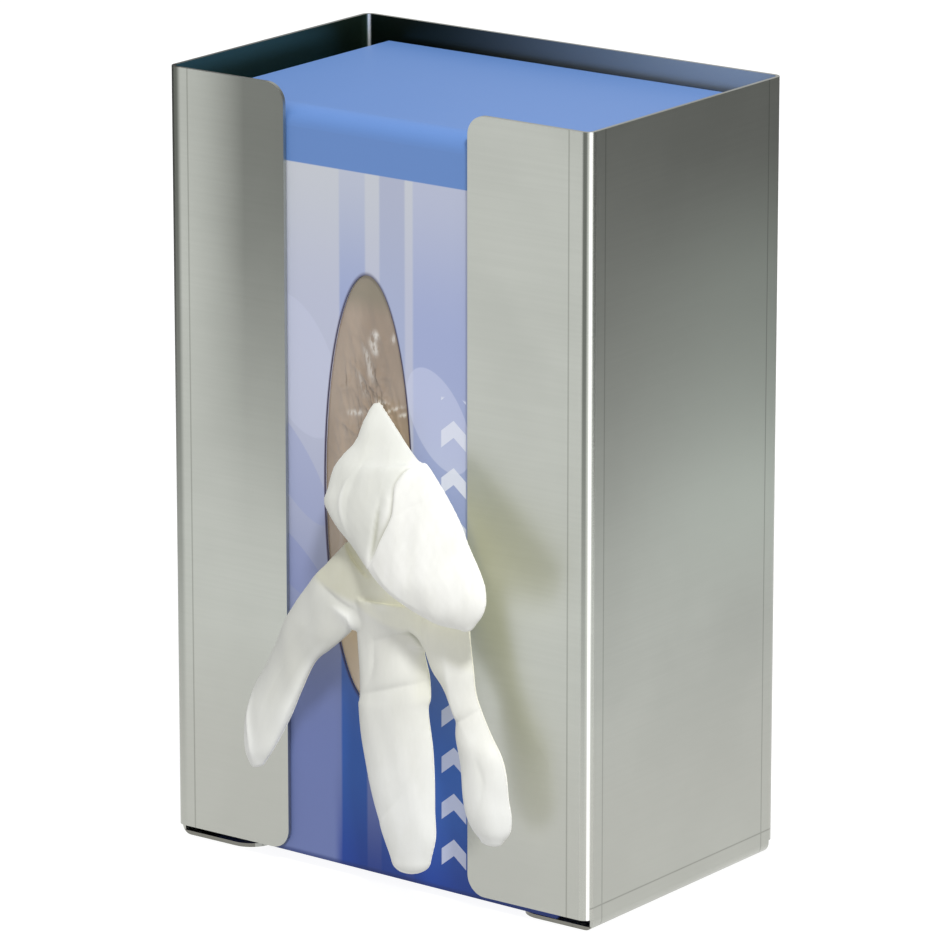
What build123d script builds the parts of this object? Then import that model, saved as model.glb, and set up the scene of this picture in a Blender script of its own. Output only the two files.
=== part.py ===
from build123d import *
import os
from math import cos, pi, sin

# Loaded glove dispenser: a folded stainless holder for the wall, with the glove carton that it holds.
# Millimetres. +Z is up, the open front faces -Y and the wall face lies on y = 0.
# The origin is the centre of the four keyholes, on the wall face.

# Steel holder: one laser-cut sheet, folded on a press brake
holder_width = 157
holder_depth = 99
holder_height = 244
sheet = 1.2
bend_inside = 2.0
flange_width = 44.3
flange_corner_radius = 6.35
foot_relief = 4
tab_reach = 29
tab_corner_radius = 8

# Keyholes in the back: screw heads enter the round part, and the holder drops onto the slot
keyhole_spacing_x = 80
keyhole_spacing_z = 180
keyhole_entry_radius = 5
keyhole_slot_width = 5.5
keyhole_slot_rise = 11

# Carton of gloves: one folded blank of coated paperboard
carton_width = 134
carton_depth = 93
carton_height = 236
carton_shift = -0.3
carton_front_gap = 0.3
board = 0.5
fold_radius = 1.0
soft_fold_radius = 6
dust_flap_length = 45
tuck_length = 18
tuck_side_gap = 2

# Oval opening in the carton's face, and the slit film glued behind it
window_offset = -3.7
window_centre_height = 121.8
window_half_width = 16.2
window_half_height = 66.5
film = 0.2
film_margin = 8
film_corner_radius = 6
slit_offset = 2
slit_length = 98
slit_width = 0.6

# The packed gloves, pressed flat one behind the other
pack_headroom = 13
pack_side_gap = 0.5
pack_film_gap = 0.3
pack_layers = 18
pack_bulge = 0.9

# Neck of the glove that is partly drawn through the slit
neck_half_width = 2.6
neck_half_height = 12.5
neck_height = 13.5
neck_clearance = 0.4
neck_length = 6

# Places that follow from the sizes above
bend_outside = bend_inside + sheet
holder_bottom = -holder_height / 2
holder_top = holder_height / 2
slot_half = holder_width / 2 - flange_width
carton_front = -holder_depth + sheet + carton_front_gap
carton_back = carton_front + carton_depth
carton_bottom = holder_bottom + sheet
carton_top = carton_bottom + carton_height
carton_left = carton_shift - carton_width / 2
window_x = carton_shift + window_offset
window_z = carton_bottom + window_centre_height
film_back = carton_front + board + film
pack_front = film_back + pack_film_gap
pack_bottom = carton_bottom + 2 * board
pack_height = carton_height - 4 * board - pack_headroom

os.makedirs("parts", exist_ok=True)

# ---------------------------------------------------------------- steel holder
with BuildPart() as steel_holder:
    # Back, two sides and two front flanges, as one open section
    with BuildSketch(Plane.XY.offset(holder_bottom + foot_relief)):
        with Locations((0, -holder_depth / 2)):
            RectangleRounded(holder_width, holder_depth, bend_outside)
            RectangleRounded(
                holder_width - 2 * sheet, holder_depth - 2 * sheet, bend_inside, mode=Mode.SUBTRACT
            )
        with Locations((0, -holder_depth + sheet / 2)):
            Rectangle(2 * slot_half, 2 * sheet, mode=Mode.SUBTRACT)
    extrude(amount=holder_height - foot_relief)

    # The flanges' free corners are rounded at the top and at the bottom
    flange_corners = (
        steel_holder.edges()
        .filter_by(Axis.Y)
        .filter_by(lambda edge: edge.center().Y < -holder_depth + sheet)
    )
    fillet(flange_corners, flange_corner_radius)

    # Each side runs on down between the bend reliefs and folds inward as a tab under the carton
    with BuildSketch(Plane.XZ.offset(bend_outside)) as tab_section:
        with BuildLine():
            Polyline(
                (holder_width / 2, holder_bottom + foot_relief + bend_outside),
                (holder_width / 2, holder_bottom),
                (holder_width / 2 - tab_reach, holder_bottom),
                (holder_width / 2 - tab_reach, holder_bottom + sheet),
                (holder_width / 2 - sheet, holder_bottom + sheet),
                (holder_width / 2 - sheet, holder_bottom + foot_relief + bend_outside),
                close=True,
            )
        make_face()
        fold_corners = tab_section.vertices().group_by(Axis.X)
        fillet(fold_corners[-1].sort_by(Axis.Y)[0], bend_outside)
        fillet(fold_corners[-2].sort_by(Axis.Y)[0], bend_inside)
        mirror(about=Plane.YZ)
    extrude(amount=holder_depth - 2 * bend_outside)
    tab_corners = (
        steel_holder.edges()
        .filter_by(Axis.Z)
        .filter_by(lambda edge: edge.center().Z < holder_bottom + sheet)
        .filter_by(lambda edge: edge.length < 1.01 * sheet)
    )
    fillet(tab_corners, tab_corner_radius)

    # Keyholes through the back
    with BuildSketch(Plane.XZ):
        with GridLocations(keyhole_spacing_x, keyhole_spacing_z, 2, 2):
            Circle(keyhole_entry_radius)
        with Locations((0, keyhole_slot_rise / 2)):
            with GridLocations(keyhole_spacing_x, keyhole_spacing_z, 2, 2):
                SlotCenterToCenter(keyhole_slot_rise, keyhole_slot_width, rotation=90)
    extrude(amount=2 * sheet, mode=Mode.SUBTRACT)

# ---------------------------------------------------------------- glove carton
with BuildPart() as glove_carton:
    # Four walls and both ends of the blank, with a soft roll where the face turns into the top
    with BuildSketch(Plane.YZ.offset(carton_left)) as carton_side:
        with Locations(((carton_front + carton_back) / 2, (carton_bottom + carton_top) / 2)):
            Rectangle(carton_depth, carton_height)
        front_top_corner = carton_side.vertices().group_by(Axis.Y)[-1].sort_by(Axis.X)[0]
        other_corners = carton_side.vertices() - [front_top_corner]
        fillet(front_top_corner, soft_fold_radius)
        fillet(other_corners, fold_radius)
    extrude(amount=carton_width)
    side_folds = glove_carton.faces().sort_by(Axis.X)[0].edges()
    side_folds += glove_carton.faces().sort_by(Axis.X)[-1].edges()
    fillet(side_folds, 0.8 * fold_radius)

    # The hollow inside, one board in from every outer face
    with BuildSketch(Plane.YZ.offset(carton_left + board)) as carton_hollow:
        with Locations(((carton_front + carton_back) / 2, (carton_bottom + carton_top) / 2)):
            Rectangle(carton_depth - 2 * board, carton_height - 2 * board)
        hollow_corner = carton_hollow.vertices().group_by(Axis.Y)[-1].sort_by(Axis.X)[0]
        fillet(hollow_corner, soft_fold_radius - board)
    extrude(amount=carton_width - 2 * board, mode=Mode.SUBTRACT)

    # Dust flaps folded in from both sides, under the top and over the bottom
    for flap_z in (carton_bottom + 1.5 * board, carton_top - 1.5 * board):
        for flap_x in (
            carton_left + board + dust_flap_length / 2,
            carton_left + carton_width - board - dust_flap_length / 2,
        ):
            with Locations((flap_x, (carton_front + carton_back) / 2, flap_z)):
                Box(dust_flap_length, carton_depth - 2 * soft_fold_radius, board)

    # Tongue of the top, tucked in behind the back wall
    with Locations((carton_shift, carton_back - 1.5 * board, carton_top - board - tuck_length / 2)):
        Box(carton_width - 2 * (board + tuck_side_gap), board, tuck_length)

    # Oval opening, torn out of the face along its perforation
    with BuildSketch(Plane.XZ.offset(-carton_front)):
        with Locations((window_x, window_z)):
            Ellipse(window_half_width, window_half_height)
    extrude(amount=-2 * board, mode=Mode.SUBTRACT)

# ---------------------------------------------------------------- window film
with BuildPart() as window_film:
    # Clear film glued to the inside of the face, slit up its middle
    with BuildSketch(Plane.XZ.offset(-carton_front - board)):
        with Locations((window_x, window_z)):
            RectangleRounded(
                2 * (window_half_width + film_margin),
                2 * (window_half_height + film_margin),
                film_corner_radius,
            )
        with Locations((window_x + slit_offset, window_z)):
            SlotOverall(slit_length, slit_width, rotation=90, mode=Mode.SUBTRACT)
        # The drawn glove holds the slit open around its neck
        with Locations((window_x + slit_offset, window_z + neck_height)):
            Ellipse(
                neck_half_width + neck_clearance, neck_half_height + neck_clearance, mode=Mode.SUBTRACT
            )
    extrude(amount=-film)

# ---------------------------------------------------------------- packed gloves
with BuildPart() as glove_pack:
    # Folded gloves pressed into one block, with a rounded fold along each side of every layer
    pack_back = carton_back - board - tuck_side_gap
    layer_pitch = (pack_back - pack_front) / pack_layers
    pack_half_width = carton_width / 2 - board - pack_side_gap
    with BuildSketch(Plane.XY.offset(pack_bottom)):
        with BuildLine():
            for side in (-1, 1):
                fold_x = carton_shift + side * (pack_half_width - pack_bulge)
                for layer in range(pack_layers):
                    layer_front = pack_front + layer * layer_pitch
                    ThreePointArc(
                        (fold_x, layer_front),
                        (fold_x + side * pack_bulge, layer_front + layer_pitch / 2),
                        (fold_x, layer_front + layer_pitch),
                    )
            for end_y in (pack_front, pack_back):
                Line(
                    (carton_shift - pack_half_width + pack_bulge, end_y),
                    (carton_shift + pack_half_width - pack_bulge, end_y),
                )
        make_face()
    extrude(amount=pack_height)

# ---------------------------------------------------------------- drawn glove
# A section of the limp glove is placed from the window's centre on the carton's face:
# (to the right, up, out from the face, half width, half depth)
glove_creases = 12
palm_sections = [
    (4, 24, 5, 2.4, 2),
    (5, 11, 6.5, 8.7, 3.5),
    (8, -4, 8, 15.4, 4.5),
    (12, -19.5, 9, 20.7, 5),
    (16.5, -32.5, 10, 23.6, 4.6),
    (19.5, -42, 11, 19.3, 3.4),
    (20.5, -45.5, 11.4, 14.5, 1.5),
]
cuff_lobe_sections = [
    (4, 28.5, 4.5, 1.4, 1.5),
    (5, 20.5, 7, 7.7, 4),
    (10, 8, 12, 16.4, 6.5),
    (24.5, -4, 16, 18.8, 8),
    (39, -14, 19, 16.4, 8),
    (51, -20.5, 20, 10.1, 6.5),
    (57, -23.5, 20, 2.4, 2.5),
]
left_finger_sections = [
    (-1, -28.5, 10, 8.7, 4.2),
    (-17.5, -49.5, 13, 8.7, 5.4),
    (-26.5, -67.5, 15, 8.3, 5.6),
    (-31.5, -83.5, 16, 5.4, 4.4),
    (-33.5, -90, 16, 1.4, 1.5),
]
middle_finger_sections = [
    (19, -34.5, 11, 12.1, 4.8),
    (19, -58, 13, 12.8, 6),
    (21.5, -81.5, 14, 11.8, 6.6),
    (24.5, -98.5, 14, 9.2, 6),
    (24.5, -109.5, 14, 4.8, 4),
    (24.5, -112.5, 14, 1.4, 1.5),
]
right_finger_sections = [
    (35.5, -32.5, 11, 7.7, 4.2),
    (44.5, -54, 13, 6.6, 4.6),
    (50, -69, 15, 7.3, 5.2),
    (54.5, -84.5, 15, 8.7, 5.6),
    (56.5, -94, 15, 6.2, 4.6),
    (57, -97.5, 15, 1.4, 1.5),
]


def loft_limp_form(sections):
    """Loft a limp, flattened form with soft creases through sections set square to its centreline."""
    centres = [
        Vector(window_x + right, carton_front - out, window_z + up) for right, up, out, _, _ in sections
    ]
    last = len(sections) - 1
    outlines = []
    for index, (_, _, _, half_width, half_depth) in enumerate(sections):
        run = centres[min(index + 1, last)] - centres[max(index - 1, 0)]
        across = run.cross(Vector(0, 1, 0))
        crease_angles = [2 * pi * crease / glove_creases for crease in range(glove_creases)]
        creases = [(half_width * cos(angle), half_depth * sin(angle)) for angle in crease_angles]
        with BuildSketch(Plane(origin=centres[index], x_dir=across, z_dir=run)) as outline:
            Polygon(*creases, align=None)
        outlines.append(outline.sketch.face())
    loft(outlines, ruled=True)


with BuildPart() as drawn_glove:
    # Neck through the slit, from the face of the pack to the palm outside
    with BuildSketch(Plane.XZ.offset(-pack_front)):
        with Locations((window_x + slit_offset, window_z + neck_height)):
            Ellipse(neck_half_width, neck_half_height)
    extrude(amount=pack_front - carton_front + neck_length)
    for limp_sections in (
        palm_sections,
        cuff_lobe_sections,
        left_finger_sections,
        middle_finger_sections,
        right_finger_sections,
    ):
        loft_limp_form(limp_sections)

steel_holder.part.label = "steel_holder"
glove_carton.part.label = "glove_carton"
window_film.part.label = "window_film"
glove_pack.part.label = "glove_pack"
drawn_glove.part.label = "drawn_glove"

for piece in (steel_holder, glove_carton, window_film, glove_pack, drawn_glove):
    export_step(piece.part, f"parts/{piece.part.label}.step")
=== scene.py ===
import math

import bmesh
import bpy
import numpy as np
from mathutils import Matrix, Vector


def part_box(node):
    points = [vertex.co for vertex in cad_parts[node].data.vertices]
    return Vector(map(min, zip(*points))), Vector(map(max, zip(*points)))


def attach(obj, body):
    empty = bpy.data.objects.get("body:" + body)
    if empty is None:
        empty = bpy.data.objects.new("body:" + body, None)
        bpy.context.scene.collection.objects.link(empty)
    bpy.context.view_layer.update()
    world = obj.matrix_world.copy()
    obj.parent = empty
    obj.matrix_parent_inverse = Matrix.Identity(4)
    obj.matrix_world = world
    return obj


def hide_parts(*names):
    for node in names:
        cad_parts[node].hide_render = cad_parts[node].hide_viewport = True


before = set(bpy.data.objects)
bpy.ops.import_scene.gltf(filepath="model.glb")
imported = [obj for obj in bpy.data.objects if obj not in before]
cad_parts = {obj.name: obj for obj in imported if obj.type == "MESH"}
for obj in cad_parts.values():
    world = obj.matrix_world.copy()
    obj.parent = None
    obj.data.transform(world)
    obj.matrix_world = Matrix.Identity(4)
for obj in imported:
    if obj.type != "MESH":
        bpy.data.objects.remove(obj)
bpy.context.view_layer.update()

# ---------------------------------------------------------------- camera
# A long lens looks down at the holder past its front right corner, from above the rim.
camera_azimuth = math.radians(36.66)
camera_elevation = math.radians(15.358)
camera_tilt = math.radians(15.464)
camera_distance = 2.0994
camera_aim = Vector((0, -0.04925, 0))
camera_data = bpy.data.cameras.new("camera")
camera_data.lens = 261.0
camera_data.sensor_width = 36
camera_data.clip_start = 0.05
camera = bpy.data.objects.new("camera", camera_data)
camera.location = camera_aim + camera_distance * Vector(
    (
        math.sin(camera_azimuth) * math.cos(camera_elevation),
        -math.cos(camera_azimuth) * math.cos(camera_elevation),
        math.sin(camera_elevation),
    )
)
camera.rotation_euler = (math.pi / 2 - camera_tilt, 0, camera_azimuth)
bpy.context.scene.collection.objects.link(camera)
bpy.context.scene.camera = camera

# ---------------------------------------------------------------- steel holder
# One stainless sheet, cut by laser and folded on a press brake, brushed level round all its faces.
# The die leaves a pair of fine lines beside each fold, and the inside carries painted shade, painted
# reflection and a painted highlight on its back left bend.


class Wire:
    """A value that varies over a surface, so that shader sums read as plain sums."""

    def __init__(self, finish, node, output):
        self.finish = finish
        self.made = node
        self.socket = node.outputs[output]

    def out(self, output):
        return Wire(self.finish, self.made, output)

    def sum(self, operation, *values):
        sockets = dict(enumerate((self, *values)))
        return self.finish.node("ShaderNodeMath", {"operation": operation}, sockets)

    def __add__(self, other):
        return self.sum("ADD", other)

    def __radd__(self, other):
        return self.sum("ADD", other)

    def __sub__(self, other):
        return self.sum("SUBTRACT", other)

    def __rsub__(self, other):
        return self.finish.node("ShaderNodeMath", {"operation": "SUBTRACT"}, {0: other, 1: self})

    def __mul__(self, other):
        return self.sum("MULTIPLY", other)

    def __rmul__(self, other):
        return self.sum("MULTIPLY", other)

    def __truediv__(self, other):
        return self.sum("DIVIDE", other)

    def __abs__(self):
        return self.sum("ABSOLUTE")

    def __gt__(self, other):
        return self.sum("GREATER_THAN", other)

    def __lt__(self, other):
        return self.sum("LESS_THAN", other)

    def least(self, other):
        return self.sum("MINIMUM", other)

    def most(self, other):
        return self.sum("MAXIMUM", other)

    def rise(self, start, end):
        """0 below start and 1 above end, smooth in between; falls where start is the larger."""
        low, high = (0, 1) if start < end else (1, 0)
        return self.finish.node(
            "ShaderNodeMapRange",
            {"interpolation_type": "SMOOTHSTEP"},
            {"Value": self, 1: min(start, end), 2: max(start, end), 3: low, 4: high},
        )


class Finish:
    """A material, with its shader nodes made by one method."""

    def __init__(self, name):
        self.material = bpy.data.materials.new(name)
        self.material.use_nodes = True
        self.tree = self.material.node_tree
        self.shader = self.tree.nodes["Principled BSDF"]
        self.place = self.node("ShaderNodeTexCoord", output="Object")

    def node(self, kind, settings=None, sockets=None, output=0):
        made = self.tree.nodes.new(kind)
        for key, value in (settings or {}).items():
            setattr(made, key, value)
        for key, value in (sockets or {}).items():
            self.feed(made.inputs[key], value)
        return Wire(self, made, output)

    def feed(self, socket, value):
        if isinstance(value, Wire):
            self.tree.links.new(value.socket, socket)
        elif hasattr(socket.default_value, "__len__") and len(value) < len(socket.default_value):
            socket.default_value = (*value, 1)
        else:
            socket.default_value = value

    def set(self, **sockets):
        for key, value in sockets.items():
            self.feed(self.shader.inputs[key.replace("_", " ")], value)

    def split(self, place=None):
        """The three coordinates of a place, each as a wire."""
        apart = self.node("ShaderNodeSeparateXYZ", sockets={0: place or self.place}, output="X")
        return apart, apart.out("Y"), apart.out("Z")

    def stretched(self, *scale):
        """Object coordinates, scaled by its own amount along each axis."""
        return self.node("ShaderNodeMapping", sockets={"Vector": self.place, "Scale": scale})

    def noise(self, vector, scale=1.0, detail=2.0, roughness=0.5):
        return self.node(
            "ShaderNodeTexNoise",
            sockets={"Vector": vector, "Scale": scale, "Detail": detail, "Roughness": roughness},
            output=0,
        )

    def mix(self, mask, without, with_it):
        """One colour turned into another where the mask is 1."""
        return self.node(
            "ShaderNodeMix",
            {"data_type": "RGBA"},
            {0: mask, 6: without, 7: with_it},
            output=2,
        )

    def bump(self, height, distance, strength=1.0, under=None):
        sockets = {"Height": height, "Distance": distance, "Strength": strength}
        if under is not None:
            sockets["Normal"] = under
        return self.node("ShaderNodeBump", sockets=sockets)


def paint(color):
    """A screen colour from 0 to 255 as the linear colour that a shader takes."""
    return tuple(
        (c / 255 / 12.92) if c / 255 <= 0.04045 else ((c / 255 + 0.055) / 1.055) ** 2.4 for c in color
    )


def dress(node, finish):
    """Puts a finish on a CAD node, whose mesh stays as it is."""
    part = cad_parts[node]
    part.data.materials.clear()
    part.data.materials.append(finish.material)


holder_low, holder_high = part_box("steel_holder")
holder_right = holder_high[0]
holder_front = holder_low[1]
holder_bottom = holder_low[2]
steel_gauge = 0.0012
die_mark_offset = 0.0076
die_mark_width = 0.00018

steel = Finish("brushed_stainless")
x, y, z = steel.split()
facing = steel.node("ShaderNodeNewGeometry", output="Normal")
facing_x, facing_y, _ = steel.split(facing)
grain = steel.noise(steel.stretched(130, 130, 2600), 1.0, 3.0, 0.65)
long_grain = steel.noise(steel.stretched(12, 12, 900), 1.0, 2.0, 0.5)
cloud = steel.noise(steel.place, 22.0, 3.0, 0.5)


def near_line(distance, half_width):
    """1 on a line, falling to 0 at its soft edges."""
    return abs(distance).rise(2 * half_width, 0.6 * half_width)


on_front = (abs(facing_y) > 0.7) * 1.0
on_side = (abs(facing_x) > 0.7) * 1.0
front_marks = near_line(abs(x) - (holder_right - die_mark_offset), die_mark_width)
side_marks = near_line(abs(y - holder_front / 2) - (-holder_front / 2 - die_mark_offset), die_mark_width)
foot_marks = near_line(z - (holder_bottom + die_mark_offset), die_mark_width)
die_marks = (on_front * front_marks + on_side * side_marks.most(foot_marks)).least(1.0)
# The inner faces look back at the holder's middle. They carry painted shade, lighter along the back wall
# towards the right as a painted reflection.
inside = (x * facing_x + (y - holder_front / 2) * facing_y < -0.045) * (
    z > holder_bottom + 3 * steel_gauge
)
# The left flange carries a painted dark reflection, strongest beside the slot and near its top.
painted_dark_reflection = (x.rise(-holder_right, -0.020) * 2).least(1.0) * z.rise(-0.060, 0.110) * x.rise(0, -0.001)
painted_dark_reflection = painted_dark_reflection * on_front * (y < holder_front / 2)
steel_tone = steel.mix(cloud.rise(0.35, 0.65), paint((182, 185, 178)), paint((188, 191, 184)))
steel_tone = steel.mix(long_grain.rise(0.3, 0.7) * 0.2, steel_tone, paint((175, 178, 171)))
steel_tone = steel.mix(painted_dark_reflection * 0.68, steel_tone, paint((60, 63, 58)))
# Painted reflection: a lighter patch in the middle of the right side.
painted_side_reflection = z.rise(0.110, 0.060) * z.rise(-0.050, 0.010) * y.rise(-0.120, 0.0) * (facing_x > 0.7)
steel_tone = steel.mix(painted_side_reflection, steel_tone, paint((222, 230, 220)))
steel_tone = steel.mix(z.rise(-0.035, -0.095) * 0.6, steel_tone, paint((173, 173, 166)))
tab_edge = (z < holder_bottom + 0.0014) * on_front
steel_tone = steel.mix(tab_edge * 0.8, steel_tone, paint((112, 110, 102)))
steel_tone = steel.mix(die_marks * 0.45, steel_tone, paint((110, 112, 104)))
# The right front bend is polished to a lower roughness. It carries a painted highlight along its crest and a
# painted dark reflection band beside it, and the left front bend a painted dark line.
front_bend = (facing_x > 0.1) * (facing_y < -0.1) * (x > holder_right - 0.008) * (z > holder_bottom + 0.004)
painted_crest_highlight = near_line(facing_x - 0.79, 0.07) * front_bend
painted_dark_band = near_line(facing_x - 0.36, 0.16) * front_bend * z.rise(-0.130, 0.080)
painted_left_bend_line = (x + holder_right).rise(0.0052, 0.0032) * (y < holder_front + 0.0034) * z.rise(-0.160, 0.100)
steel_tone = steel.mix(painted_dark_band.most(painted_left_bend_line), steel_tone, paint((99, 102, 96)))
steel_tone = steel.mix(painted_crest_highlight, steel_tone, paint((255, 255, 252)))
# Painted shade and painted reflection on the inner faces, and a painted highlight down the back left inner
# bend.
painted_inside_shade = steel.mix(x.rise(-0.060, 0.075), paint((46, 56, 53)), paint((190, 196, 196)))
painted_inside_shade = steel.mix(on_side, painted_inside_shade, paint((100, 130, 112)))
painted_corner_highlight = near_line(facing_x - 0.60, 0.15) * (x < 0) * (y > holder_front / 2)
painted_inside_shade = steel.mix(painted_corner_highlight, painted_inside_shade, paint((255, 255, 252)))
steel_tone = steel.mix(inside, steel_tone, painted_inside_shade)
steel.set(
    Base_Color=steel_tone,
    Metallic=1.0,
    Roughness=0.30 + 0.10 * grain - 0.12 * front_bend,
    Anisotropic=0.6,
    Anisotropic_Rotation=0.25,
    Normal=steel.bump(grain + 0.2 * long_grain - die_marks * 0.8, 0.00004, 0.25),
)
dress("steel_holder", steel)

# ---------------------------------------------------------------- glove carton
# One blank of coated board, printed in blues, folded and glued, with a soft roll at its front top edge.
# Its print is plain: a deep band at the top, upright ribbons, pale petals and a row of chevrons.
carton_low, carton_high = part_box("glove_carton")
carton_face = carton_low[1]
carton_top = carton_high[2]
band_height = 0.0167
window_x = -0.0040
window_z = 0.0010
window_half_width = 0.0162
window_half_height = 0.0665
window_rim = 0.0005

carton = Finish("printed_board")
x, y, z = carton.split()
low_share = z.rise(0.035, -0.085)
high_share = z.rise(0.050, 0.105)
foot_share = z.rise(-0.085, -0.125)
board_color = carton.mix(low_share, paint((190, 195, 217)), paint((107, 121, 175)))
board_color = carton.mix(high_share, board_color, paint((201, 205, 213)))


def ribbon(left, right, soft=0.0005):
    """An upright ribbon between two distances from the carton's middle."""
    return x.rise(left - soft, left + soft) * x.rise(right + soft, right - soft)


for left, right, high, upper, lower in (
    (-0.0145, -0.0048, (190, 196, 213), (158, 171, 212), (34, 86, 168)),
    (0.0006, 0.0100, (178, 184, 206), (170, 180, 212), (60, 98, 172)),
    (0.0130, 0.0700, (186, 192, 214), (164, 175, 214), (50, 96, 174)),
):
    shade = carton.mix(low_share, paint(upper), paint(lower))
    shade = carton.mix(high_share, shade, paint(high))
    board_color = carton.mix(ribbon(left, right), board_color, shade)
board_color = carton.mix(foot_share * 0.95 * x.rise(-0.018, -0.014), board_color, paint((0, 52, 146)))


def petal(middle_x, middle_z, reach_x, reach_z, lean=0.0):
    """1 inside an oval printed on the face, turned by its lean in degrees."""
    turn = math.radians(lean)
    aside = x - middle_x
    above = z - middle_z
    across = (aside * math.cos(turn) - above * math.sin(turn)) / reach_x
    along = (aside * math.sin(turn) + above * math.cos(turn)) / reach_z
    return (across * across + along * along).rise(1.03, 0.97)


for middle_x, middle_z, reach_x, reach_z, lean, share, color in (
    (-0.030, 0.036, 0.0130, 0.0230, -24, 0.35, (206, 211, 234)),
    (-0.034, 0.006, 0.0075, 0.0230, -38, 0.40, (146, 158, 206)),
    (-0.036, -0.024, 0.0065, 0.0220, -52, 0.45, (128, 140, 194)),
    (0.0225, 0.0270, 0.0095, 0.0170, -30, 0.50, (206, 212, 238)),
):
    board_color = carton.mix(
        petal(middle_x, middle_z, reach_x, reach_z, lean) * share, board_color, paint(color)
    )

# The carton's foot has gone soft: its front edge has risen off the tabs, most at the left, and a
# strip of painted shade runs along it.
edge_lift = 0.0017
lift_slope = -0.012
above_edge = z - (carton_low[2] + edge_lift + x * lift_slope)
board_color = carton.mix(above_edge.rise(0.0018, 0.0004) * 0.7, board_color, paint((16, 40, 104)))

# The chevrons climb the right-hand side of the face, one every chevron_pitch.
chevron_pitch = 0.0145
chevron_x = 0.0280
chevron_half = 0.0046
climb = ((z + 0.2 + abs(x - chevron_x) * 0.8) / chevron_pitch).sum("FRACT")
chevron = (
    (climb > 0.36)
    * (climb < 0.72)
    * abs(x - chevron_x).rise(chevron_half + 0.0002, chevron_half - 0.0002)
    * z.rise(0.0350, 0.0340)
    * z.rise(-0.1150, -0.1140)
)
chevron_tone = carton.mix(low_share, paint((228, 232, 246)), paint((206, 212, 234)))
board_color = carton.mix(chevron * 0.85, board_color, chevron_tone)
band = z.rise(carton_top - band_height - 0.0002, carton_top - band_height + 0.0002)
board_color = carton.mix(band, board_color, paint((99, 137, 199)))
rim = petal(window_x, window_z, window_half_width + window_rim, window_half_height + window_rim)
on_face = y.rise(carton_face + 0.0003, carton_face + 0.0001)
board_color = carton.mix(rim * on_face, board_color, paint((54, 44, 74)))
fibre = carton.noise(carton.place, 900.0, 2.0, 0.6)
waves = carton.noise(carton.stretched(18, 18, 9), 1.0, 2.0, 0.5)
carton.set(
    Base_Color=board_color,
    Roughness=0.42,
    Specular_IOR_Level=0.32,
    Normal=carton.bump(waves, 0.0012, 0.35, carton.bump(fibre, 0.00002, 0.3)),
)
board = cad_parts["glove_carton"]
board_data = board.data.copy()
for vertex in board_data.vertices:
    at_front = min(max((carton_face + 0.004 - vertex.co.y) / 0.003, 0), 1)
    if vertex.co.z < carton_low[2] + 0.002:
        vertex.co.z += at_front * (edge_lift + lift_slope * vertex.co.x)
board_data.materials.clear()
board_data.materials.append(carton.material)
soft_carton = bpy.data.objects.new("soft_carton", board_data)
bpy.context.scene.collection.objects.link(soft_carton)
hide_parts("glove_carton")
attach(soft_carton, "root")

# ---------------------------------------------------------------- packed gloves
# The gloves lie folded and pressed one behind the other, and show only dimly through the film.
# Each layer is one folded glove; the layers nest, so that they bulge and dip together.
packed_latex = Finish("packed_latex")
folds = packed_latex.noise(packed_latex.stretched(60, 60, 14), 1.0, 3.0, 0.6)
# The colour is painted darker in the dips of the folds, as shade.
packed_latex.set(
    Base_Color=packed_latex.mix(folds.rise(0.3, 0.7), paint((186, 172, 152)), paint((232, 216, 202))),
    Roughness=0.5,
    Normal=packed_latex.bump(folds, 0.004, 0.6),
)
pack_low, pack_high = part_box("glove_pack")
pack_layer_count = 40
pack_wave = 0.0008
layer_gap = 0.0001


def add_node(tree, kind, sockets=None, **settings):
    """A geometry node with its settings, its values and its links."""
    made = tree.nodes.new(kind)
    for key, value in settings.items():
        setattr(made, key, value)
    for key, value in (sockets or {}).items():
        if isinstance(value, bpy.types.NodeSocket):
            tree.links.new(value, made.inputs[key])
        else:
            made.inputs[key].default_value = value
    return made


pack_tree = bpy.data.node_groups.new("layered_gloves", "GeometryNodeTree")
for name in ("Width", "Height", "Layer", "Wave"):
    pack_tree.interface.new_socket(name, in_out="INPUT", socket_type="NodeSocketFloat")
for name in ("Count", "Seed"):
    pack_tree.interface.new_socket(name, in_out="INPUT", socket_type="NodeSocketInt")
pack_tree.interface.new_socket("Start", in_out="INPUT", socket_type="NodeSocketVector")
pack_tree.interface.new_socket("Geometry", in_out="OUTPUT", socket_type="NodeSocketGeometry")
given = pack_tree.nodes.new("NodeGroupInput").outputs
layer_size = add_node(
    pack_tree, "ShaderNodeCombineXYZ", {"X": given["Width"], "Y": given["Layer"], "Z": given["Height"]}
)
one_layer = add_node(
    pack_tree,
    "GeometryNodeMeshCube",
    {"Size": layer_size.outputs[0], "Vertices X": 22, "Vertices Y": 2, "Vertices Z": 38},
)
pitch = add_node(pack_tree, "ShaderNodeMath", {0: given["Layer"], 1: layer_gap}, operation="ADD")
step = add_node(pack_tree, "ShaderNodeCombineXYZ", {"Y": pitch.outputs[0]})
row = add_node(
    pack_tree,
    "GeometryNodeMeshLine",
    {"Count": given["Count"], "Start Location": given["Start"], "Offset": step.outputs[0]},
)
trim = add_node(
    pack_tree,
    "FunctionNodeRandomValue",
    {0: (0.975, 1.0, 0.985), 1: (1.0, 1.0, 1.0), "Seed": given["Seed"]},
    data_type="FLOAT_VECTOR",
)
layers = add_node(
    pack_tree,
    "GeometryNodeInstanceOnPoints",
    {"Points": row.outputs["Mesh"], "Instance": one_layer.outputs["Mesh"], "Scale": trim.outputs[0]},
)
real = add_node(pack_tree, "GeometryNodeRealizeInstances", {"Geometry": layers.outputs["Instances"]})
place = add_node(pack_tree, "GeometryNodeInputPosition")
slow = add_node(
    pack_tree, "ShaderNodeVectorMath", {0: place.outputs[0], 1: (55.0, 6.0, 18.0)}, operation="MULTIPLY"
)
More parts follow.
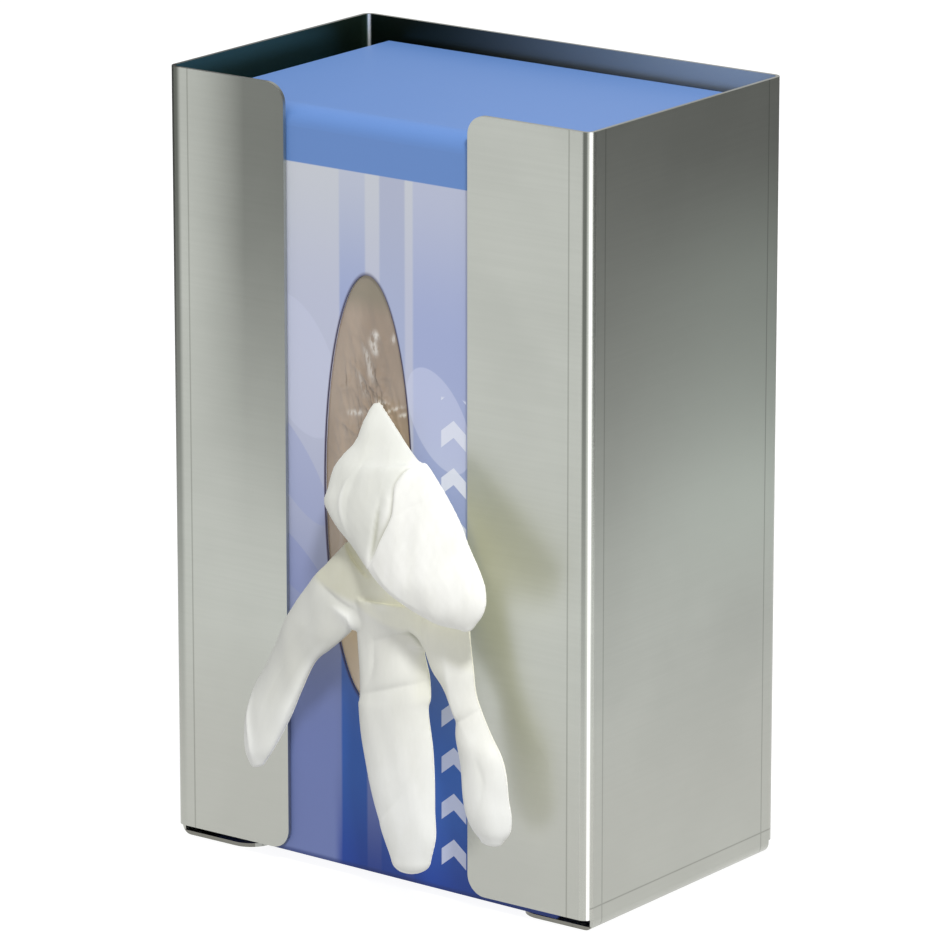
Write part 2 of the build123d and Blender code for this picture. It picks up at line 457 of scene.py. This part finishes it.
ripple = add_node(pack_tree, "ShaderNodeTexNoise", {"Vector": slow.outputs[0], "Scale": 1.0, "Detail": 1.0})
swell = add_node(pack_tree, "ShaderNodeMath", {0: ripple.outputs[0], 1: given["Wave"]}, operation="MULTIPLY")
shift = add_node(pack_tree, "ShaderNodeCombineXYZ", {"Y": swell.outputs[0]})
pushed = add_node(
    pack_tree, "GeometryNodeSetPosition", {"Geometry": real.outputs[0], "Offset": shift.outputs[0]}
)
coated = add_node(
    pack_tree,
    "GeometryNodeSetMaterial",
    {"Geometry": pushed.outputs[0], "Material": packed_latex.material},
)
add_node(pack_tree, "NodeGroupOutput", {"Geometry": coated.outputs[0]})

pack_holder = bpy.data.objects.new("pack_layers", bpy.data.meshes.new("pack_layers"))
bpy.context.scene.collection.objects.link(pack_holder)
grow = pack_holder.modifiers.new("layers", "NODES")
grow.node_group = pack_tree
layer_depth = (pack_high[1] - pack_low[1] - pack_wave) / pack_layer_count - layer_gap
sizes = {
    "Width": pack_high[0] - pack_low[0],
    "Height": pack_high[2] - pack_low[2],
    "Layer": layer_depth,
    "Wave": pack_wave,
    "Count": pack_layer_count,
    "Seed": 7,
    "Start": (
        (pack_low[0] + pack_high[0]) / 2,
        pack_low[1] + layer_depth / 2,
        (pack_low[2] + pack_high[2]) / 2,
    ),
}
for item in pack_tree.interface.items_tree:
    if item.in_out == "INPUT":
        grow[item.identifier] = sizes[item.name]
bpy.context.view_layer.update()
pack_mesh = bpy.data.meshes.new_from_object(
    pack_holder.evaluated_get(bpy.context.evaluated_depsgraph_get())
)
bpy.data.objects.remove(pack_holder)
gloves = bpy.data.objects.new("packed_gloves", pack_mesh)
bpy.context.scene.collection.objects.link(gloves)
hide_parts("glove_pack")
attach(gloves, "root")

# ---------------------------------------------------------------- drawn glove
# One thin white latex glove pulled part way out: the palm hangs from the slit, three fingers hang
# below it, and the rest of the hand has folded over in front as a broad lobe.
mm = 0.001
slit_mouth = Vector((window_x, carton_face, window_z))
skin_voxel = 0.5 * mm
ring_count = 32
# The neck passes the film here, in mm to the right of and above the oval's middle.
neck_across = 3.5
neck_up = 13.5
neck_half_width = 2.3

# Each section of a form is its left edge and its right edge, seen from the front, and how far it
# hangs out from the carton: (left x, left z, right x, right z, out), in mm from the oval's middle.
lobe_sections = (
    (3.8, 28.3, 6.8, 29.3, 2.5),
    (2.5, 23, 14, 24.5, 5.5),
    (1, 17.5, 21, 18.8, 7.5),
    (-2.5, 13, 26.3, 15.3, 9),
    (-5, 9, 29.2, 15.7, 10),
    (-6.5, 2.5, 32, 14.8, 11.3),
    (-7.5, -2, 35, 12.5, 12.3),
    (-3, -6.5, 40.5, 7.5, 13.7),
    (5, -12.5, 46, 1.5, 15.2),
    (12, -18, 50.5, -4.5, 17),
    (19, -22, 55, -9.5, 18.7),
    (27, -25.3, 58.5, -14.5, 20),
    (36, -28, 59.8, -19, 21),
    (45, -29.3, 59, -23, 21.4),
    (51, -29.5, 55.8, -27.4, 21.5),
)
palm_sections = (
    (4, 24, 9, 23.5, 4),
    (2, 6, 24.5, 11, 5.5),
    (-1, -9, 35.5, -5, 7),
    (-2, -14.5, 38, -11, 7.5),
    (-5.5, -18, 40, -17, 8),
    (-8.5, -21.5, 42, -22, 8.5),
    (-8, -29, 45, -29, 9.5),
    (-3, -37, 46.5, -38, 10.5),
)
left_finger_sections = (
    (-2, -14.5, 12, -26, 8.5),
    (-8.5, -21.5, 8, -32, 9),
    (-14, -27.5, 4, -37, 9.5),
    (-19.5, -35, 0.5, -42, 10),
    (-24, -43, -6, -48, 10.8),
    (-29.5, -55.5, -11.5, -53, 11.5),
    (-34.3, -64.5, -15.8, -62.5, 12.7),
    (-36.4, -72, -18.5, -70, 14),
    (-36.5, -78.5, -21.8, -77, 15),
    (-35.3, -84, -24.5, -82, 15.8),
    (-33.2, -88, -27.5, -86.6, 16),
)
middle_finger_sections = (
    (2, -30, 31, -28, 10),
    (4, -37, 28.5, -35, 10.2),
    (4, -43, 28.8, -42.5, 10.2),
    (5, -52, 31.5, -49.5, 11.2),
    (5.5, -60, 32.5, -56, 12),
    (5.5, -63.5, 32, -60, 12.5),
    (7.5, -74.5, 34, -71, 13),
    (10, -85.5, 35, -80.5, 13.5),
    (13.5, -94.5, 35.5, -90.5, 14),
    (16, -102, 35.8, -98.5, 14),
    (18.8, -108.5, 34, -106, 14),
)
right_finger_sections = (
    (30, -26, 44.4, -23.8, 10.3),
    (28.5, -35.4, 46.2, -33, 11.3),
    (32.5, -45.8, 48.3, -44, 12),
    (36.5, -51, 49.5, -51, 12.3),
    (39, -54.5, 51.5, -56, 12.5),
    (42, -60, 55.5, -63.5, 12.7),
    (42.5, -66, 59.5, -69.5, 13),
    (44, -74, 61.2, -75, 13),
    (45, -82.5, 62, -82, 13),
    (46.5, -89, 63, -87, 13),
    (48.7, -93.3, 62.6, -92, 13),
    (51.5, -96.3, 60, -95.5, 13),
)


def curve_through(points, steps):
    """A smooth curve through points, as an array with the given steps in each span."""
    points = np.array(points, float)
    padded = np.vstack([2 * points[0] - points[1], points, 2 * points[-1] - points[-2]])
    rows = []
    for span in range(len(points) - 1):
        a, b, c, d = padded[span : span + 4]
        for t in np.arange(steps) / steps:
            rows.append(
                0.5
                * (2 * b + (c - a) * t + (2 * a - 5 * b + 4 * c - d) * t**2 + (3 * b - a - 3 * c + d) * t**3)
            )
    rows.append(points[-1])
    return np.array(rows)


def limp_rings(sections, tip, flatness, thickest, crispness):
    """Rings round a flattened bag between a left and a right edge, with a round tip."""
    rails = curve_through(sections, 8)
    left, right, out = rails[:, 0:2], rails[:, 2:4], rails[:, 4]
    middle = (left + right) / 2
    half = (right - left) / 2
    run = (middle[-1] - middle[-3]) / np.linalg.norm(middle[-1] - middle[-3])
    spine = list(zip(middle, half, out))
    for share in np.sin(np.linspace(0, math.pi / 2, 9))[1:]:
        spine.append((middle[-1] + run * tip * share, half[-1] * math.sqrt(max(1 - share**2, 4e-4)), out[-1]))
    rings = []
    for m, h, o in spine:
        depth = min(flatness * np.linalg.norm(h), thickest)
        ring = []
        for angle in np.linspace(0, 2 * math.pi, ring_count, endpoint=False):
            swell = math.sin(angle) * abs(math.sin(angle)) ** crispness
            ring.append((*(m + h * math.cos(angle)), o + depth * swell))
        rings.append(ring)
    return rings


neck_rings = [
    [
        (neck_across + neck_half_width * math.cos(angle), neck_up + half_height * math.sin(angle), out)
        for angle in np.linspace(0, 2 * math.pi, ring_count, endpoint=False)
    ]
    for out, half_height in ((-1.4, 12.2), (1, 12.2), (3, 11.5), (5, 9))
]
glove_mesh = bmesh.new()
for rings in (
    neck_rings,
    limp_rings(palm_sections, 5, 0.16, 2.6, 0.3),
    limp_rings(lobe_sections, 0.8, 0.26, 4.8, 0.5),
    limp_rings(left_finger_sections, 1.2, 0.42, 4.2, 0.4),
    limp_rings(middle_finger_sections, 4.5, 0.34, 4.8, 0.4),
    limp_rings(right_finger_sections, 1.6, 0.46, 4.6, 0.4),
):
    placed = [
        [glove_mesh.verts.new(slit_mouth + Vector((across, -out, up)) * mm) for across, up, out in ring]
        for ring in rings
    ]
    for near, far in zip(placed, placed[1:]):
        for i in range(ring_count):
            j = (i + 1) % ring_count
            glove_mesh.faces.new((near[i], near[j], far[j], far[i]))
    glove_mesh.faces.new(placed[0])
    glove_mesh.faces.new(placed[-1])
bmesh.ops.recalc_face_normals(glove_mesh, faces=glove_mesh.faces)
glove_data = bpy.data.meshes.new("rough_glove")
glove_mesh.to_mesh(glove_data)
glove_mesh.free()
rough_glove = bpy.data.objects.new("rough_glove", glove_data)
bpy.context.scene.collection.objects.link(rough_glove)
fuse = rough_glove.modifiers.new("fuse", "REMESH")
fuse.mode = "VOXEL"
fuse.voxel_size = skin_voxel
relax = rough_glove.modifiers.new("relax", "SMOOTH")
relax.factor = 0.5
relax.iterations = 4
bpy.context.view_layer.update()
glove_skin = bpy.data.meshes.new_from_object(
    rough_glove.evaluated_get(bpy.context.evaluated_depsgraph_get())
)
bpy.data.objects.remove(rough_glove)
glove_skin.name = "glove_skin"

# Each crease is a furrow, or a ridge where its depth is negative: its depth, how fast it dies away to
# the left and to the right of its run, how far out it lies, and the points it runs through, in mm.
creases = (
    (1.5, 0.6, 2.6, 15.5, ((24, 14), (21.7, 9), (22, 3.5), (21.5, -1), (17.5, -8.5), (14, -16.5))),
    (1.4, 3.0, 0.5, 15.5, ((17.5, 5), (16.5, -2), (15, -10), (13.3, -17))),
    (0.8, 3.0, 3.0, 12, ((11, 19), (7, 11), (4.5, 2.5), (5, -6))),
    (-0.7, 2.0, 1.2, 13, ((6.5, 11), (2.5, 5.5), (1.5, -1), (4.5, -9))),
    (0.5, 5.0, 1.5, 19, ((43, 9), (36.5, -4.5), (33, -12), (32, -18))),
    (0.6, 2.0, 0.9, 21, ((51, -8.5), (54, -12.5), (55, -17))),
    (0.8, 0.7, 1.8, 12.5, ((30.5, 17), (26.5, 15.2), (23.5, 13), (22, 10))),
    (0.3, 1.5, 2.5, 17, ((24, 0), (29, 4), (34, 6))),
    (-0.5, 1.5, 1.5, 19, ((15, -15), (21, -19.5), (28, -23), (38, -26))),
    (-1.0, 2.0, 2.2, 10.5, ((-4, -33), (1, -36), (4, -41))),
    (0.5, 0.6, 1.8, 10.5, ((-9, -27), (-2, -31), (5, -34.5))),
    (-0.6, 1.0, 2.0, 12, ((-7, -46.5), (-13, -54), (-18, -65), (-22, -75), (-27, -85))),
    (-0.9, 1.6, 1.0, 15, ((-33.5, -66), (-33.8, -72), (-32.2, -79), (-31, -86))),
    (0.7, 3.0, 1.5, 13, ((-8, -33), (-16, -46), (-24, -60), (-28, -74))),
    (0.8, 1.0, 2.2, 11, ((12, -41.5), (22.5, -37.5), (28.5, -39), (30, -43.5))),
    (0.7, 2.5, 1.0, 12, ((12, -40), (12, -50), (8.5, -58.5))),
    (0.8, 1.2, 2.2, 12, ((7, -59), (19.5, -54.5), (30.5, -51))),
    (1.0, 0.8, 1.6, 11, ((23, -36), (28, -39.5), (31, -44))),
    (0.5, 3.0, 1.5, 14, ((14, -98), (24, -88), (27, -82))),
    (0.6, 1.2, 2.0, 13, ((52.5, -69.5), (55, -77), (53.5, -85))),
    (0.7, 1.2, 1.8, 12.5, ((42, -61.5), (46.5, -59.3), (51, -56))),
    (-0.6, 2.0, 2.0, 12.5, ((39.5, -37), (41, -47), (43, -57), (50, -65))),
)
count = len(glove_skin.vertices)
points = np.empty(count * 3)
glove_skin.vertices.foreach_get("co", points)
points = points.reshape(-1, 3)
normals = np.empty(count * 3)
glove_skin.vertices.foreach_get("normal", normals)
normals = normals.reshape(-1, 3)
seen = (points[:, [0, 2]] - [slit_mouth.x, slit_mouth.z]) / mm
out = (slit_mouth.y - points[:, 1]) / mm
facing_out = np.clip(-normals[:, 1] * 2, 0, 1)
dent = np.zeros(count)
line_shade = np.zeros(count)
for depth, fade_left, fade_right, level, line in creases:
    line = curve_through(line, 4)
    spans = np.linalg.norm(np.diff(line, axis=0), axis=1)
    travelled = np.concatenate([[0], np.cumsum(spans)])
    gap = np.full(count, 1e6)
    side = np.zeros(count)
    share = np.zeros(count)
    for i, span in enumerate(spans):
        run = (line[i + 1] - line[i]) / span
        reach = seen - line[i]
        along = np.clip(reach @ run, 0, span)
        distance = np.linalg.norm(reach - along[:, None] * run, axis=1)
        nearer = distance < gap
        gap[nearer] = distance[nearer]
        side[nearer] = (run[0] * reach[:, 1] - run[1] * reach[:, 0])[nearer]
        share[nearer] = ((travelled[i] + along) / travelled[-1])[nearer]
    fade = np.where(side > 0, fade_left, fade_right)
    near_level = np.exp(-(((out - level) / 6.0) ** 4))
    strength = depth * np.sin(math.pi * (0.08 + 0.84 * share)) * near_level
    dent += strength * np.exp(-((gap / fade) ** 1.3))
    line_shade += np.clip(strength, 0, 1) * np.exp(-((gap / 0.7) ** 2))
slack = sum(
    np.sin(seen[:, 0] * across + seen[:, 1] * up + phase) * height
    for across, up, phase, height in (
        (0.47, 0.11, 0.4, 0.10),
        (0.23, -0.19, 2.1, 0.16),
        (0.71, 0.27, 1.2, 0.05),
    )
)
points -= normals * ((dent + slack) * facing_out)[:, None] * mm
glove_skin.vertices.foreach_set("co", points.ravel())
glove_skin.update()
glove_skin.shade_smooth()
# Painted shade: an attribute darkens the skin along the creases' furrows.
furrow = glove_skin.attributes.new("furrow", "FLOAT", "POINT")
furrow.data.foreach_set("value", np.clip(0.5 * line_shade + (dent - 1.1) / 1.2, 0, 1) * facing_out)
# Painted highlight: an attribute lightens the skin along the creases' ridges.
ridge = glove_skin.attributes.new("ridge", "FLOAT", "POINT")
ridge.data.foreach_set("value", np.clip(-dent / 0.8, 0, 1) * facing_out)
glove = bpy.data.objects.new("latex_glove", glove_skin)
bpy.context.scene.collection.objects.link(glove)

# Painted light: the side that faces the holder glows, standing in for light that comes through the thin skin.
latex = Finish("white_latex")
crumple = latex.noise(latex.stretched(150, 150, 60), 1.0, 3.0, 0.55)
latex_facing = latex.node("ShaderNodeNewGeometry", output="Normal")
painted_glow_side = latex.split(latex_facing)[1].rise(-0.30, 0.40)
# The folded cuff is white and double, with painted light on its right part and painted shade on its left; the
# single fingers carry painted shade, darker to the left and lighter towards their tips, and let the darker
# things behind them through.
x, y, z = latex.split()
across = x - window_x
up = z - window_z
cuff_with_painted_light = latex.mix((across - 0.37 * up).rise(0.0165, 0.0210), paint((227, 228, 221)), paint((251, 251, 246)))
finger_with_painted_shade = latex.mix(x.rise(-0.035, 0.040), paint((200, 201, 195)), paint((236, 236, 229)))
finger_with_painted_shade = latex.mix(z.rise(-0.050, -0.095) * 0.85, finger_with_painted_shade, paint((244, 245, 242)))
# Painted shadow: under the cuff the palm is painted darker and yellower, most at the left, and the inner side
# of the right finger gets the same painted shade.
painted_cuff_shadow = (up + 0.3 * across).rise(-0.0315, -0.0285)
painted_inner_side_shade = (across + 0.125 * up).rise(0.0358, 0.0340) * across.rise(0.026, 0.030) * up.rise(-0.060, -0.054)
painted_palm_shade_tone = latex.mix(across.rise(0.0, 0.018), paint((203, 202, 184)), paint((240, 240, 227)))
finger_with_painted_shade = latex.mix(painted_cuff_shadow.most(painted_inner_side_shade * 0.8), finger_with_painted_shade, painted_palm_shade_tone)
in_front = (carton_face - y + 0.19 * up).rise(0.0088, 0.0102).most(up.rise(0.008, 0.014))
skin_tone = latex.mix(in_front, finger_with_painted_shade, cuff_with_painted_light)
# Painted shade in the crease furrows.
painted_crease_shade_fac = latex.node("ShaderNodeAttribute", {"attribute_name": "furrow"}, output="Fac")
skin_tone = latex.mix(painted_crease_shade_fac * 0.75, skin_tone, paint((172, 173, 152)))
# Painted highlight on the crease ridges.
painted_ridge_highlight_fac = latex.node("ShaderNodeAttribute", {"attribute_name": "ridge"}, output="Fac")
skin_tone = latex.mix(painted_ridge_highlight_fac * 0.8, skin_tone, paint((248, 249, 245)))
# The painted glow is yellower higher up and brighter towards the fingertips.
painted_glow_tone = latex.mix(z.rise(-0.055, -0.085), paint((197, 192, 164)), paint((238, 236, 226)))
latex.set(
    Base_Color=latex.mix(crumple.rise(0.3, 0.75) * 0.25, skin_tone, paint((214, 214, 203))),
    Roughness=0.45,
    Specular_IOR_Level=0.25,
    Sheen_Weight=0.15,
    Emission_Color=latex.mix(painted_glow_side, (0, 0, 0), painted_glow_tone),
    Emission_Strength=0.6,
    Normal=latex.bump(crumple, 0.0006, 0.45),
)
glove_skin.materials.clear()
glove_skin.materials.append(latex.material)
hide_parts("drawn_glove")
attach(glove, "root")

# ---------------------------------------------------------------- window film
# Clear film glued behind the oval. It is torn open round the glove and drawn into puckers there,
# and stands in loose upright wrinkles above.
film_low, film_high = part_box("window_film")
film_gauge = 0.12 * mm
film_angles = 300
film_ring_count = 64
hole_middle = np.array([neck_across, neck_up])
hole_half = np.array([2.9, 12.8])
loose_half_width = 15.4
loose_half_height = 64.6
film_reach = np.array(
    [
        [film_low[0] - window_x, film_high[0] - window_x],
        [film_low[2] - window_z, film_high[2] - window_z],
    ]
) / mm
angles = np.linspace(0, 2 * math.pi, film_angles, endpoint=False)
ways = np.stack([np.cos(angles), np.sin(angles)], axis=1)
bounds = np.where(ways > 0, film_reach[:, 1], film_reach[:, 0])
reach = np.min(np.abs(bounds - hole_middle) / np.maximum(np.abs(ways), 1e-9), axis=1)
inner = hole_middle + hole_half * ways
outer = hole_middle + ways * reach[:, None]
shares = np.linspace(0, 1, film_ring_count) ** 1.5
sheet = inner[None] + (outer - inner)[None] * shares[:, None, None]
across, up = sheet[..., 0], sheet[..., 1]
free = np.clip(1.15 - (across / loose_half_width) ** 2 - (up / loose_half_height) ** 2, 0, 1)
free = free * free * (3 - 2 * free)
chance = np.random.default_rng(11)
crinkle = np.zeros_like(across)
for scale in (0.35, 0.6, 0.9, 1.4):
    for turn in chance.uniform(0, math.pi, 3):
        phase = chance.uniform(0, 6.3)
        wander = 1.3 * np.sin(across * 0.21 + up * 0.13 + phase * 2)
        wave = np.sin(scale * (across * math.cos(turn) + up * 0.45 * math.sin(turn)) + wander + phase)
        crinkle += (1 - np.abs(wave)) ** 3 * 0.16 / scale
from_hole = np.hypot((across - hole_middle[0]) / hole_half[0], (up - hole_middle[1]) / hole_half[1]) - 1
swing = np.arctan2((up - 22) / 6.0, (across - 4) / 4.0)
pucker = (1 - np.abs(np.sin(4.5 * swing + 0.8 * np.sin(3 * swing)))) ** 2 * 0.9 * np.exp(-from_hole / 1.1)
wrinkle = 0.55 * np.exp(-(((across + 6.6 - 0.28 * up + 4.0 * np.exp(-(((up - 29) / 4) ** 2))) / 1.1) ** 2))
wrinkle = wrinkle * np.exp(-(((up - 40) / 12) ** 2))
lift = (crinkle + pucker + wrinkle) * free * mm
film_front = film_high[1] - film_gauge - lift

# Each glint is a painted highlight, one place where the film catches the light: its middle, its half length
# and half width, its turn from upright in degrees, and how bright it is.
glint = np.zeros_like(across)
for middle_x, middle_z, half_length, half_width, turn, share in (
    (2.9, 48.4, 1.3, 1.2, 60, 1.0),
    (2.2, 45.0, 2.6, 1.1, -18, 1.0),
    (0.2, 39.5, 5.5, 1.1, -18, 0.55),
    (-2.2, 33.0, 4.0, 0.9, -22, 0.35),
    (9.6, 48.6, 1.6, 0.7, 30, 0.7),
    (-4.6, 23.6, 3.0, 0.8, 80, 0.8),
    (5.2, 28.2, 2.4, 0.7, 95, 0.8),
    (9.8, 26.8, 3.4, 0.5, 68, 0.7),
    (13.2, 25.5, 1.8, 0.6, 75, 0.9),
):
    turn = math.radians(turn)
    aside = (across - middle_x) * math.cos(turn) + (up - middle_z) * -math.sin(turn)
    along = (across - middle_x) * math.sin(turn) + (up - middle_z) * math.cos(turn)
    glint += share * np.exp(-((aside / half_width) ** 2) - (along / half_length) ** 4)
film_mesh = bmesh.new()
front = [
    [
        film_mesh.verts.new((window_x + across[i, j] * mm, film_front[i, j], window_z + up[i, j] * mm))
        for j in range(film_angles)
    ]
    for i in range(film_ring_count)
]
back = [[film_mesh.verts.new(v.co + Vector((0, film_gauge, 0))) for v in ring] for ring in front]
for i in range(film_ring_count - 1):
    for j in range(film_angles):
        k = (j + 1) % film_angles
        film_mesh.faces.new((front[i][j], front[i][k], front[i + 1][k], front[i + 1][j]))
        film_mesh.faces.new((back[i][j], back[i + 1][j], back[i + 1][k], back[i][k]))
for i, turned in ((0, False), (film_ring_count - 1, True)):
    for j in range(film_angles):
        k = (j + 1) % film_angles
        edge = (front[i][j], back[i][j], back[i][k], front[i][k])
        film_mesh.faces.new(edge[::-1] if turned else edge)
bmesh.ops.recalc_face_normals(film_mesh, faces=film_mesh.faces)
film_data = bpy.data.meshes.new("puckered_film")
film_mesh.to_mesh(film_data)
film_mesh.free()
film_data.shade_smooth()
film_glint = film_data.attributes.new("glint", "FLOAT", "POINT")
film_glint.data.foreach_set("value", np.tile(np.clip(glint, 0, 1).ravel(), 2))
film = bpy.data.objects.new("puckered_film", film_data)
bpy.context.scene.collection.objects.link(film)
clear_film = Finish("clear_film")
haze = clear_film.noise(clear_film.stretched(90, 90, 30), 1.0, 2.0, 0.5)
sparkle = clear_film.noise(clear_film.stretched(700, 700, 260), 1.0, 2.0, 0.6)
# Painted highlights: where the glint attribute is high, the film's colour is whitened.
shine = clear_film.node("ShaderNodeAttribute", {"attribute_name": "glint"}, output="Fac")
film_z = clear_film.split()[2]
film_tone = clear_film.mix(haze.rise(0.3, 0.7), paint((166, 148, 130)), paint((186, 168, 150)))
film_tone = clear_film.mix(film_z.rise(0.054, 0.062) * 0.6, film_tone, paint((138, 134, 112)))
# Painted light: the film is lighter below the neck, where the palm's shadow falls on it.
film_tone = clear_film.mix(film_z.rise(-0.020, -0.040), film_tone, paint((226, 208, 186)))
clear_film.set(
    Base_Color=clear_film.mix(shine * sparkle.rise(0.35, 0.55), film_tone, paint((246, 242, 236))),
    Roughness=0.14,
    Coat_Weight=0.6,
    Alpha=0.75,
)
film_data.materials.append(clear_film.material)
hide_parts("window_film")
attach(film, "root")

# ---------------------------------------------------------------- floor and lights
# A white floor under even studio light, with one key light high at the right. Two dark cards, which
# only mirrors see, stand behind the right side and at the left.


def stage_sheet(name, corners, finish, unseen_by):
    mesh = bpy.data.meshes.new(name)
    mesh.from_pydata(corners, [], [(0, 1, 2, 3)])
    sheet = bpy.data.objects.new(name, mesh)
    mesh.materials.append(finish.material)
    bpy.context.scene.collection.objects.link(sheet)
    for ray in unseen_by:
        setattr(sheet, "visible_" + ray, False)


floor_reach = 6.0
floor_z = holder_bottom - 0.0003
floor_finish = Finish("white_floor")
floor_finish.set(Base_Color=(0.2, 0.2, 0.2), Roughness=0.8, Emission_Color=(1, 1, 1), Emission_Strength=0.92)
stage_sheet(
    "floor",
    [
        (-floor_reach, -floor_reach, floor_z),
        (floor_reach, -floor_reach, floor_z),
        (floor_reach, floor_reach, floor_z),
        (-floor_reach, floor_reach, floor_z),
    ],
    floor_finish,
    ("diffuse",),
)

card_finish = Finish("dark_card")
card_finish.set(Base_Color=(0.02, 0.022, 0.02), Emission_Color=(1, 1, 1), Emission_Strength=0.11)


def dark_card(name, azimuth, distance, width, low, high):
    """A card standing round the holder: its azimuth runs from the front towards the right."""
    turn = math.radians(azimuth)
    away = Vector((math.sin(turn), -math.cos(turn), 0))
    along = Vector((math.cos(turn), math.sin(turn), 0))
    middle = Vector((0, holder_front / 2, 0)) + away * distance
    stage_sheet(
        name,
        [
            middle - along * width / 2 + Vector((0, 0, low)),
            middle + along * width / 2 + Vector((0, 0, low)),
            middle + along * width / 2 + Vector((0, 0, high)),
            middle - along * width / 2 + Vector((0, 0, high)),
        ],
        card_finish,
        ("camera", "diffuse", "transmission", "volume_scatter", "shadow"),
    )


dark_card("back_right_card", 143, 0.46, 1.2, floor_z, 0.6)
dark_card("left_card", -105, 0.60, 0.9, floor_z, 0.4)


def soft_light(name, place, aim, size, power):
    data = bpy.data.lights.new(name, "AREA")
    data.shape = "RECTANGLE"
    data.size, data.size_y = size
    data.energy = power
    lamp = bpy.data.objects.new(name, data)
    lamp.location = place
    lamp.rotation_euler = (Vector(place) - Vector(aim)).to_track_quat("Z", "Y").to_euler()
    bpy.context.scene.collection.objects.link(lamp)


soft_light("key", (1.15, -1.03, 1.84), (0, 0, 0), (0.3, 0.3), 36)
soft_light("top", (0, 0, 1.8), (0, 0, 0), (1.4, 1.4), 3)
world = bpy.data.worlds.new("studio")
world.use_nodes = True
world.node_tree.nodes["Background"].inputs["Color"].default_value = (1, 1, 1, 1)
world.node_tree.nodes["Background"].inputs["Strength"].default_value = 0.6
bpy.context.scene.world = world
bpy.context.scene.view_settings.view_transform = "Standard"
